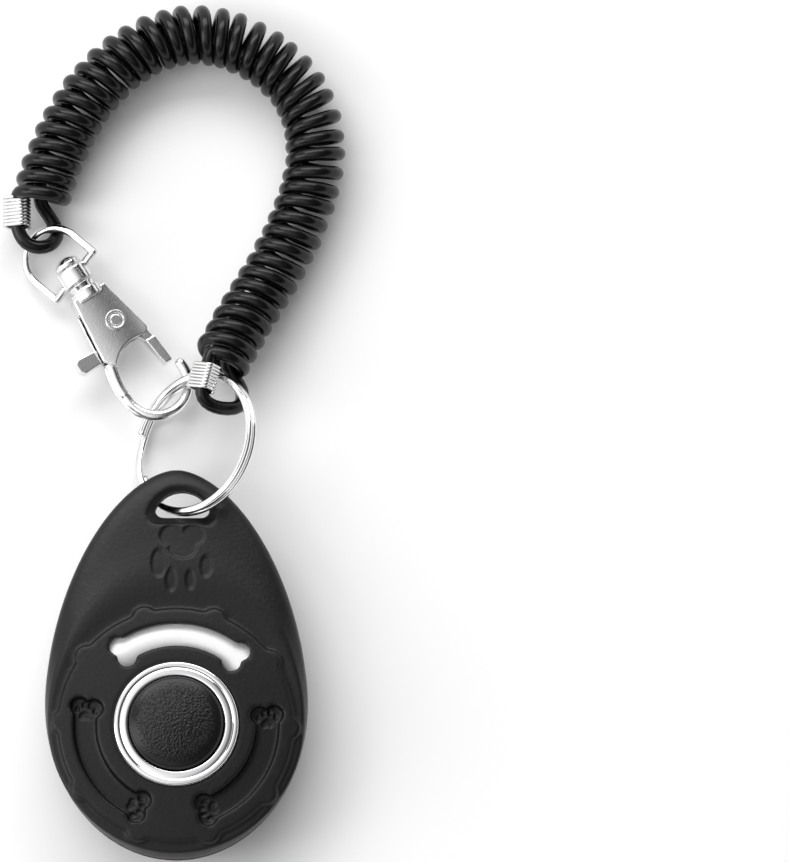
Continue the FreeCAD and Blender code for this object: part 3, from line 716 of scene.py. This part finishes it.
def make_chrome_insert():
    """The satin plate with its polished collar: a rounded rim, a full top and a slope down to the button."""
    hole = 7.95
    profile = [(hole, PLATE_UNDER_Z), (PLATE_RADIUS, PLATE_UNDER_Z)]
    profile += [(r, PLATE_TOP_Z) for r in (PLATE_RADIUS, 18.2, 17.9, 12.6, 12.3, BEZEL_RADIUS)]
    profile += arc_profile(BEZEL_RADIUS - 0.38, 15.16, 0.38, 0.0, 80.0, 8)
    profile += [(9.75, 15.56), (9.5, 15.52), (9.44, 15.40), (9.36, 15.36)]
    profile += [(9.28, 15.42), (8.9, 15.47), (8.5, 15.52), (8.25, 15.50), (8.06, 15.38), (hole, 15.15)]
    made, faces = turned(profile, 240)
    made = np.asarray(made)
    bearing = np.degrees(np.abs(np.arctan2(made[:, 0], made[:, 1])))
    reach = np.hypot(made[:, 0], made[:, 1])
    on_top = (made[:, 2] > PLATE_TOP_Z - 0.2) & (reach > 12.5) & (reach < 18.0)
    made[:, 2] += np.where(on_top & (bearing < PAD_HALF_ANGLE), PAD_RISE, 0.0)
    piece = new_piece("chrome_insert_plate", made, faces, CHROME, "clicker", "plate_chrome", "chrome_insert")
    piece.data.materials.append(SATIN)
    for face in piece.data.polygons:
        if face.center.z < (PLATE_TOP_Z + PAD_RISE + 0.2) * MM:
            face.material_index = 1
    return piece


# ---------------------------------------------------------------- covers
def oval_depth(points, centre, half_width, half_height, turn_degrees, edge):
    """1 well inside an oval, 0 outside it, with a smooth edge."""
    angle = math.radians(turn_degrees)
    dx, dy = points[:, 0] - centre[0], points[:, 1] - centre[1]
    a = (dx * math.cos(angle) + dy * math.sin(angle)) / half_width
    b = (-dx * math.sin(angle) + dy * math.cos(angle)) / half_height
    gap = (np.sqrt(a * a + b * b) - 1) * min(half_width, half_height)
    return 1 - step_up(gap, -edge, edge)


def paw_mark(points, centre, size, turn_degrees, edge):
    """A pad with four toes, size across, its toes pointing along -Y before it is turned."""
    angle = math.radians(turn_degrees)

    def placed(x, y):
        return (centre[0] + size * (x * math.cos(angle) - y * math.sin(angle)),
                centre[1] + size * (x * math.sin(angle) + y * math.cos(angle)))

    mark = np.zeros(len(points))
    for x, y, wide, tall, turn in (
            (-0.13, 0.30, 0.15, 0.15, 0.0), (0.13, 0.30, 0.15, 0.15, 0.0), (0.0, 0.20, 0.19, 0.15, 0.0),
            (-0.42, -0.02, 0.09, 0.15, 14.0), (-0.15, -0.25, 0.09, 0.16, 4.0),
            (0.15, -0.25, 0.09, 0.16, -4.0), (0.42, -0.02, 0.09, 0.15, -14.0)):
        oval = oval_depth(points, placed(x, y), size * wide, size * tall, turn_degrees + turn, edge)
        mark = np.maximum(mark, oval)
    return mark


def bone_places():
    """Middles of the two blind bones' ends, and the way each paw in them turns."""
    places = []
    half_span = 37.0
    for middle in (122.5, 242.5):
        for end in (-1, 1):
            angle = math.radians(middle + end * half_span)
            outward = (end * math.cos(angle), -end * math.sin(angle))
            turn = math.degrees(math.atan2(outward[0], -outward[1]))
            places.append((SMALL_PAW_REACH * math.sin(angle), SMALL_PAW_REACH * math.cos(angle), turn))
    return places


def cover_marks(points):
    """Presses the neck's large paw and the four small paws into the front cover's face."""
    y, z = points[:, 1], points[:, 2]
    large = np.zeros(len(points))
    for centre_x, centre_y, half_width, half_height in NECK_PAW:
        pad = oval_depth(points, (centre_x, centre_y), half_width, half_height, 0.0, 0.25)
        large = np.maximum(large, pad)
    depth = NECK_PAW_DEPTH * large
    for px, py, turn in bone_places():
        depth += SMALL_PAW_DEPTH * paw_mark(points, (px, py), SMALL_PAW_SIZE, turn, 0.11)
    outer_skin = (z > 9.6) & ((z > FACE_EDGE_Z) | (y > NECK_FROM_Y))
    return points - np.where(outer_skin, depth, 0.0)[:, None] * UP


def make_covers():
    softened("front_cover", "front_cover_shell", 0.19, 30, SHELL, cover_marks)
    softened("back_cover", "back_cover_shell", 0.26, 5, SHELL)


# ---------------------------------------------------------------- swivel hook
def crowned(points):
    """Falls the casting's upper face away on both sides of the hook's middle line."""
    offset = (points - SWIVEL_POINT) @ HOOK_ACROSS
    upper = step_up(points[:, 2], 4.6, 5.6)
    return points - (upper * HOOK_CROWN * (offset - 0.5) ** 2)[:, None] * UP


def make_hook():
    softened("hook_body", "hook_body_casting", 0.10, 13, NICKEL, crowned)
    softened("gate", "gate_casting", 0.09, 5, NICKEL)
    softened("bail", "bail_wire", 0.10, 5, NICKEL)
    softened("swivel_stud", "swivel_stud_head", 0.09, 5, NICKEL)
    softened("gate_pin", "gate_pin_head", 0.05, 5, NICKEL)


def finish_cad_nodes():
    """Materials for the solids that show as they are."""
    for node, material in (
            ("click_plate", SPRING_STEEL), ("plate_clamp", SHELL), ("clamp_screws", SCREW_STEEL),
            ("cover_screws", SCREW_STEEL), ("gate_spring", SPRING_STEEL)):
        data = frame["nodes"][node].data
        data.materials.clear()
        data.materials.append(material)


# ---------------------------------------------------------------- putting it together
make_camera()
cord = make_cord()
hook_ferrule = wound_ferrule(
    "hook_ferrule_wire", "hook_ferrule", start=(-26.8, 85.3, 5.03), end=(-26.8, 91.2, 5.2),
    across=4.3, deep=3.8, sideways=(0.93, 0, 0.37), turns=9.2, wire=HOOK_FERRULE_WIRE)
ring_ferrule = wound_ferrule(
    "ring_ferrule_wire", "ring_ferrule", start=(3.85, 56.45, 12.3), end=(5.15, 61.5, 12.3),
    across=4.6, deep=3.5, sideways=(0.78, 0, 0.63), turns=8.4, wire=RING_FERRULE_WIRE)
make_surroundings()
make_floor()
make_split_ring()
make_button()
make_chrome_insert()
make_covers()
make_hook()
finish_cad_nodes()
bpy.context.scene.view_settings.view_transform = "Standard"
